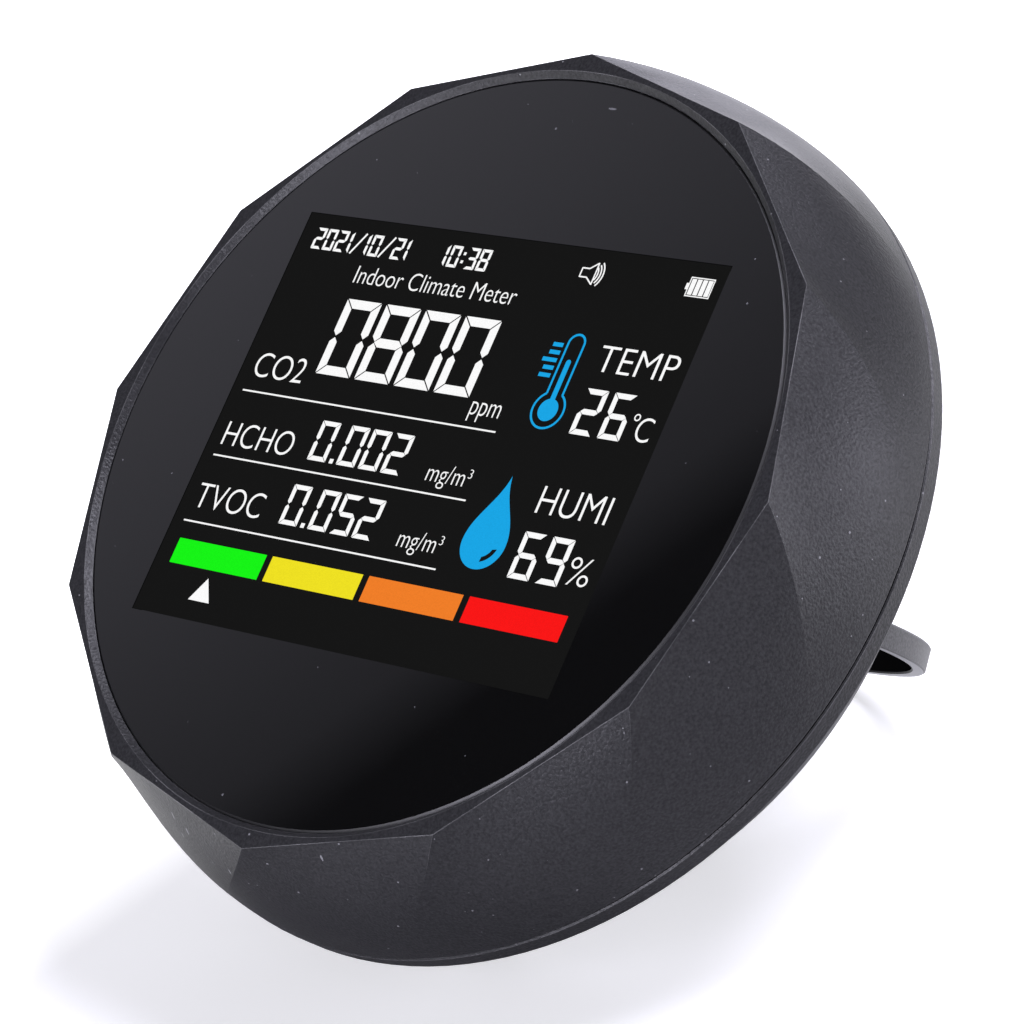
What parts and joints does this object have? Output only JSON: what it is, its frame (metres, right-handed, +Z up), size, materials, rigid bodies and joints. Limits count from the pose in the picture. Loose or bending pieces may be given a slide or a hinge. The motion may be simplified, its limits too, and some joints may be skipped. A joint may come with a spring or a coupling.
{
  "type": "desk carbon dioxide monitor",
  "caption": "Round faceted desk air monitor with a glass display front, vented rear cover and fold-out hoop stand.",
  "frame": {"origin": "on the desk plane, under the centre of the bounding box, with the stand open", "axes": "+Z up from the desk, -Y the way the display looks before its lean, +X to the right of the display"},
  "size_m": [0.1083, 0.0956, 0.0849],
  "materials": {
    "housing_plastic": "fine matte grain",
    "lens_glass": "polished, printed black behind",
    "adhesive_tape": "dull",
    "display_glass": "smooth",
    "backlight_plastic": "white",
    "carrier_plastic": "moulded",
    "screw_steel": "plated",
    "screw_black": "black oxide",
    "flex_film": "amber film",
    "connector_plastic": "moulded",
    "foam": "foam",
    "battery_foil": "foil",
    "wire_sheath": "sheath",
    "board_laminate": "solder mask",
    "chip_resin": "moulded resin",
    "capacitor_can": "satin",
    "sensor_can": "plated",
    "membrane": "white porous",
    "gold_pins": "plated",
    "sensor_pot": "moulded",
    "sensor_white": "moulded",
    "switch_plastic": "moulded",
    "port_steel": "plated",
    "filter_cloth": "non-woven",
    "rubber_black": "dull",
    "stand_plastic": "satin",
    "button_plastic": "satin"
  },
  "bodies": {
    "housing": {"front_housing": "housing_plastic", "lens_panel": "lens_glass", "lens_adhesive_ring": "adhesive_tape", "display_cell": "display_glass", "display_backlight": "backlight_plastic", "display_carrier": "carrier_plastic", "carrier_screws": "screw_steel", "display_flex": "flex_film", "flex_socket": "connector_plastic", "battery_foam": "foam", "battery_cell": "battery_foil", "battery_leads": "wire_sheath", "battery_plug": "connector_plastic", "battery_socket": "connector_plastic", "main_board": "board_laminate", "board_screws": "screw_steel", "processor_chip": "chip_resin", "support_chips": "chip_resin", "board_capacitors": "capacitor_can", "buzzer": "chip_resin", "co2_sensor_board": "board_laminate", "co2_sensor_can": "sensor_can", "co2_sensor_membrane": "membrane", "co2_sensor_pins": "gold_pins", "formaldehyde_sensor": "sensor_pot", "formaldehyde_membrane": "membrane", "tvoc_sensor": "sensor_can", "temperature_humidity_sensor": "sensor_white", "switch_bodies": "switch_plastic", "usb_shell": "port_steel", "usb_tongue": "connector_plastic", "rear_cover": "housing_plastic", "vent_filter": "filter_cloth", "cover_screws": "screw_black", "rubber_feet": "rubber_black", "stand_pins": "screw_steel"},
    "stand": {"stand_hoop": "stand_plastic", "stand_pad": "rubber_black"},
    "power_key": {"button_power": "button_plastic", "plunger_power": "switch_plastic"},
    "up_key": {"button_up": "button_plastic", "plunger_up": "switch_plastic"},
    "down_key": {"button_down": "button_plastic", "plunger_down": "switch_plastic"}
  },
  "joints": [
    {"name": "stand_fold", "type": "hinge", "parent": "housing", "child": "stand", "pos_m": [0, 0.01024, 0.02873], "axis": [-1, 0, 0], "range_deg": [0, 102.5]},
    {"name": "power_key_press", "type": "slide", "parent": "housing", "child": "power_key", "axis": [0, -0.615, 0.7885], "range_m": [0, 0.0003]},
    {"name": "up_key_press", "type": "slide", "parent": "housing", "child": "up_key", "axis": [0, -0.615, 0.7885], "range_m": [0, 0.0003]},
    {"name": "down_key_press", "type": "slide", "parent": "housing", "child": "down_key", "axis": [0, -0.615, 0.7885], "range_m": [0, 0.0003]}
  ]
}
